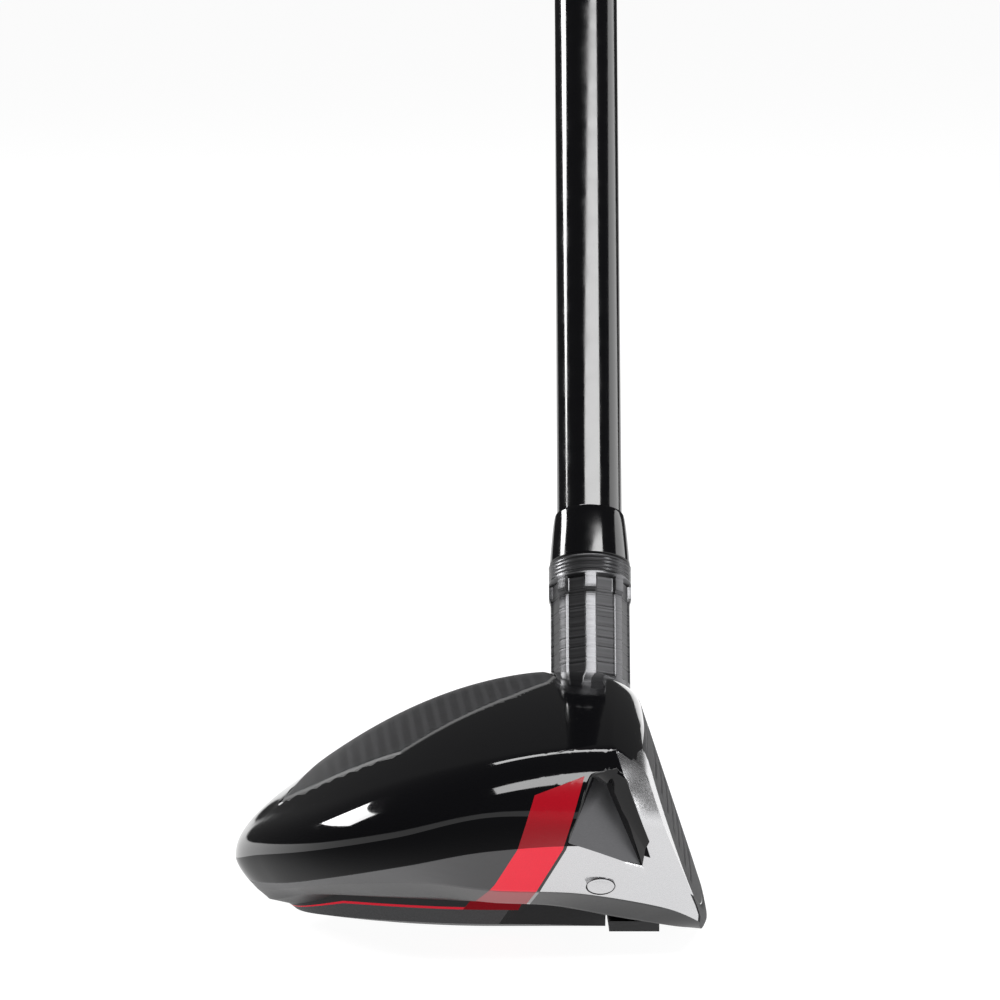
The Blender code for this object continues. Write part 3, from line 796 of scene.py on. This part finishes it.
def make_fitted_pieces():
    panel = slab(PANEL_OUTLINE, PANEL_CENTRE, on_crown, -1.2, 0.22, 0.26, 30)
    mesh_object("crown_inlay", panel, [CARBON, PINSTRIPE], 30, "crown_panel", "crown_carbon")
    plate = slab(PLATE_OUTLINE, PLATE_CENTRE, on_face, -2.2, 0.02, 0.1)
    plate = mesh_object("face_insert", plate, [FACE_STEEL] * 2, 30, "face_plate", "face_steel")
    boolean(plate, score_lines(), "score_cut", [GREY_FINISH_AND_SHEEN])
    strip = slab(STRIP_OUTLINE, STRIP_CENTRE, on_keel, 1.2, 0.05, 0.0)
    mesh_object("rear_strip", strip, [GRANULAR], 30, "sole_rear_strip", "sole_strip")
    filler = slot_bar(SLOT_BACK + 0.3, SLOT_FRONT - 0.3, SLOT_REACH - 1, SLOT_FILL_LOW, 2.1)
    mesh_object("slot_filler", filler, [POLYMER], 30, "slot_insert", "slot_polymer")
    disc = port_disc(PORT_R, 1.9, 0.05, 0.15)
    mesh_object("port_plug", disc, [STEEL], 30, "toe_port_plug", "plug_steel")


# Hosel, ferrule, shaft and grip

HOSEL_R, COLLAR_RISE = 5.8, 0.25
TURN_DEPTH, TURN_PITCH = 0.045, 0.55
FLUTE_FOOT, FLUTE_ANGLE, FLUTE_FLOOR, FLUTE_HALF = 30.4, math.pi / 4, 5.35, 1.55
SHAFT_TIP_R, SHAFT_GROWTH, TAPER_FOOT = 4.8, 2.8, 170
GRIP_LIP_R, GRIP_FOOT_R, GRIP_GROWTH, GRIP_BUTT_R, GRIP_BORE_ROOM = 8.0, 8.6, 5.0, 13.6, 0.62
KNURL_PITCH, KNURL_DEPTH, RING_PITCH, RING_DEPTH = 3.3, 0.45, 62, 0.4


def skin_rings(skin, marks, steps):
    """Rings across the shaft's line with the radius that skin(distance, angle) gives."""
    angles = [2 * math.pi * i / steps for i in range(steps)]
    return [[along(d, skin(d, a), a) for a in angles] for d in marks]


def stations(start, step, count):
    return [start + step * k for k in range(count)]


def hosel_skin(distance, angle):
    """The hosel's radius: flat-floored flutes with narrow ribs, and fine turned lines above them."""
    radius = HOSEL_R + COLLAR_RISE * between(distance, COLLAR_FOOT, COLLAR_FOOT + 0.8)
    radius -= COLLAR_RISE * between(distance, HOSEL_TOP - 0.3, HOSEL_TOP)
    if FLUTE_TOP + 0.3 < distance < HOSEL_TOP - 0.4:
        turn = (distance - FLUTE_TOP - 0.3) * 2 * math.pi / TURN_PITCH
        radius -= TURN_DEPTH * (1 - math.cos(turn))
    off = angle % FLUTE_ANGLE - FLUTE_ANGLE / 2
    floor = FLUTE_FLOOR / math.cos(off)
    share = between(FLUTE_HALF - abs(radius * math.sin(off)), 0, 0.2)
    share *= between(distance, FLUTE_FOOT, FLUTE_FOOT + 0.4) * between(FLUTE_TOP - distance, 0, 0.4)
    return radius + (min(floor, radius) - radius) * share


def make_hosel():
    marks = [HOSEL_FOOT, 27, 30] + stations(FLUTE_FOOT, 0.1, 5) + stations(31.6, 0.8, 14)
    marks += stations(COLLAR_FOOT, 0.1, 9) + [44.5, 45.2] + stations(45.6, 0.1, 8)
    marks += stations(46.4, 0.0917, 28) + [HOSEL_TOP - 0.2, HOSEL_TOP - 0.1, HOSEL_TOP]
    steps = 384
    rings = skin_rings(hosel_skin, marks, steps)
    rings += [ring_at(d, 5.0, steps) for d in (HOSEL_TOP, HOSEL_FOOT)]
    hosel = turned_steel("hosel_steel", (0.075, 0.075, 0.078), 0.32, 0.35)
    mesh_object("fluted_hosel", tube(rings), [hosel], 25, "hosel", "hosel_steel")
    foot = HOSEL_TOP + 0.1
    ferrule = gloss_black("ferrule_black", 0.09, 0.5)
    mesh_object("tapered_ferrule", turned([
        (foot, 4.95), (foot, 5.75), (foot + 0.15, 5.9), (foot + 2, 5.77), (foot + 4, 5.6),
        (foot + 5.6, 5.45), (foot + 6.6, 5.33), (FERRULE_TOP - 0.5, 5.2), (FERRULE_TOP - 0.2, 5.12),
        (FERRULE_TOP, 4.98), (FERRULE_TOP, 4.95)]), [ferrule], 25, "ferrule", "ferrule_plastic")


def shaft_r(distance):
    return SHAFT_TIP_R + SHAFT_GROWTH * max(distance - TAPER_FOOT, 0) / (SHAFT_BUTT - TAPER_FOOT)


def make_shaft():
    marks = [SHAFT_TIP, 100, TAPER_FOOT] + list(range(250, 1000, 50)) + [SHAFT_BUTT]
    outside = [(d, shaft_r(d)) for d in marks]
    inside = [(SHAFT_BUTT, 6.5), (450, 4.5), (TAPER_FOOT, 3.1), (SHAFT_TIP, 2.6)]
    lacquer = gloss_black("shaft_lacquer", 0.1, 0.5)
    mesh_object("lacquered_shaft", turned(outside + inside), [lacquer], 30, "shaft",
                "shaft_graphite")


def grip_skin(distance, angle):
    """The grip's radius: bands of diamond knurls and rings, with a smooth stripe along each side."""
    up = distance - GRIP_FOOT
    share = max(up / (CLUB_LENGTH - GRIP_FOOT), 0)
    radius = min(GRIP_FOOT_R + GRIP_GROWTH * share ** 1.15, GRIP_BUTT_R)
    if up < 2:
        radius = GRIP_LIP_R + (radius - GRIP_LIP_R) * up / 2
    turns, steps = angle * 10 / math.pi, up / KNURL_PITCH
    diamonds = min(abs(math.sin(math.pi * (turns + s) / 2)) for s in (steps, -steps))
    knurl = 1 - between(diamonds, 0.12, 0.42)
    inside = between(up, 12, 13) * between(990 - distance, 0, 1)
    from_ring = abs(up % RING_PITCH - RING_PITCH / 2)
    band = between(from_ring, 3.0, 3.6)
    ring = 1 - between(abs(from_ring - 1.5), 0.25, 0.7)
    stripe = between(abs(math.cos(angle)), 0.04, 0.09)
    return radius - inside * (KNURL_DEPTH * knurl * band * stripe + RING_DEPTH * ring)


def make_grip():
    steps, count = 200, 560
    cap_foot = SHAFT_BUTT + 1.4
    marks = [GRIP_FOOT + (cap_foot - 3 - GRIP_FOOT) * k / count for k in range(count + 1)]
    rings = skin_rings(grip_skin, marks, steps)
    bore = [(cap_foot, 13.5), (cap_foot, 11), (cap_foot - 3, 11)]
    bore += [(cap_foot - 3, shaft_r(1009) + GRIP_BORE_ROOM)]
    bore += [(d, shaft_r(d) + GRIP_BORE_ROOM) for d in (860, GRIP_FOOT)]
    rings += [ring_at(d, r, steps) for d, r in bore]
    rubber = grained("grip_rubber", (0.014, 0.014, 0.014), 0.62, 1.6, 0.1)
    mesh_object("moulded_grip", tube(rings), [rubber], 40, "grip", "grip_rubber")
    cap = grained("cap_rubber", (0.012, 0.012, 0.0125), 0.55, 2.4, 0.06)
    mesh_object("vented_cap", turned([
        (cap_foot - 1, 1.2), (cap_foot - 1, 10.6), (cap_foot + 0.3, 10.6), (cap_foot + 0.3, 13.2),
        (cap_foot + 0.5, 13.4), (CLUB_LENGTH - 1.6, 13.0), (CLUB_LENGTH - 0.8, 12.5),
        (CLUB_LENGTH - 0.25, 11.8), (CLUB_LENGTH, 10.8), (CLUB_LENGTH, 8.2),
        (CLUB_LENGTH - 0.35, 7.9), (CLUB_LENGTH - 0.35, 2.6), (CLUB_LENGTH, 2.2),
        (CLUB_LENGTH, 1.2)]), [cap], 30, "grip_end_cap", "cap_rubber")


def finish_hidden_nodes():
    """The two CAD solids that stay get materials of their own."""
    looks = {"tip_weight": satin_steel("tip_brass", (0.55, 0.40, 0.16), 0.35, (1, 1, 1)),
             "grip_tape": grained("grip_tape_paper", (0.45, 0.40, 0.30), 0.8, 1.2, 0.04)}
    for name, look in looks.items():
        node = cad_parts[name]
        node.data.materials.clear()
        node.data.materials.append(look)


make_head()
make_fitted_pieces()
make_hosel()
make_shaft()
make_grip()
finish_hidden_nodes()


# Floor, world, lights and camera, with places in metres

HEAD_MIDDLE = Vector((-0.008, 0.0, 0.04))
FLOOR_HALF_MM, FLOOR_DROP_MM, FLOOR_GLOW = 9000, 0.3, 0.95
WORLD_SEEN, WORLD_LIGHT = 1.0, 0.05         # the world is white to the camera and dim to the object
CAMERA_LENS, CAMERA_SENSOR, CAMERA_REACH = 182.7, 36, 20
CAMERA_TARGET, CAMERA_DISTANCE = Vector((-0.0083, 0, 0.05844)), 0.7


def aim(obj, place, target):
    obj.location = place
    obj.rotation_euler = (Vector(target) - Vector(place)).to_track_quat("-Z", "Y").to_euler()
    bpy.context.scene.collection.objects.link(obj)


def bearing(azimuth, elevation, distance):
    """A place round the head in metres: azimuth 0 is the toe's side, and 90 is the face's side."""
    a, e = math.radians(azimuth), math.radians(elevation)
    away = Vector((math.sin(a) * math.cos(e), -math.cos(a) * math.cos(e), math.sin(e)))
    return away * distance + HEAD_MIDDLE


def softbox(name, azimuth, elevation, distance, size, power):
    light = bpy.data.lights.new(name, "AREA")
    light.shape = "RECTANGLE"
    light.size, light.size_y = size
    light.energy = power
    aim(bpy.data.objects.new(name, light), bearing(azimuth, elevation, distance), HEAD_MIDDLE)


def make_floor():
    """A plain pale floor with a little glow of its own, as a lit sweep has."""
    bm = bmesh.new()
    bmesh.ops.create_grid(bm, x_segments=4, y_segments=4, size=FLOOR_HALF_MM)
    bmesh.ops.translate(bm, verts=bm.verts, vec=(0, 0, -FLOOR_DROP_MM))
    pale = shader("pale_floor", (0.2, 0.2, 0.2), 0.9, specular=0.0)
    plug(pale, "Base Color", tinted(pale, noise(pale, 0.002), (0.2, 0.2, 0.2), 0.95, 1.05))
    inputs = pale.node_tree.nodes["Principled BSDF"].inputs
    inputs["Emission Color"].default_value = (1, 1, 1, 1)
    inputs["Emission Strength"].default_value = FLOOR_GLOW
    mesh_object("studio_floor", bm, [pale])


make_floor()
bpy.context.scene.view_settings.view_transform = "Standard"

world = bpy.data.worlds.new("studio")
world.use_nodes = True
bpy.context.scene.world = world
nodes, links = world.node_tree.nodes, world.node_tree.links
seen, dim = nodes.new("ShaderNodeBackground"), nodes["Background"]
for background, strength in ((seen, WORLD_SEEN), (dim, WORLD_LIGHT)):
    background.inputs["Color"].default_value = (1, 1, 1, 1)
    background.inputs["Strength"].default_value = strength
choice, path = nodes.new("ShaderNodeMixShader"), nodes.new("ShaderNodeLightPath")
links.new(path.outputs["Is Camera Ray"], choice.inputs[0])
links.new(dim.outputs[0], choice.inputs[1])
links.new(seen.outputs[0], choice.inputs[2])
links.new(choice.outputs[0], nodes["World Output"].inputs[0])

softbox("key", 17, 51, 1.5, (1.4, 0.45), 30)
softbox("right", 108, 14, 1.5, (1.4, 0.7), 9)
softbox("overhead", 178, 58, 1.3, (0.7, 0.2), 4)
softbox("rib", 50, 8, 1.4, (0.25, 0.35), 2.2)
softbox("back_left", -118, 26, 1.4, (0.8, 0.28), 17)

camera = bpy.data.cameras.new("camera")
camera.lens, camera.sensor_width = CAMERA_LENS, CAMERA_SENSOR
camera.clip_end = CAMERA_REACH
view = bpy.data.objects.new("camera", camera)
back = Vector((0, -math.cos(LOOK_DOWN), math.sin(LOOK_DOWN)))
aim(view, CAMERA_TARGET + back * CAMERA_DISTANCE, CAMERA_TARGET)
bpy.context.scene.camera = view
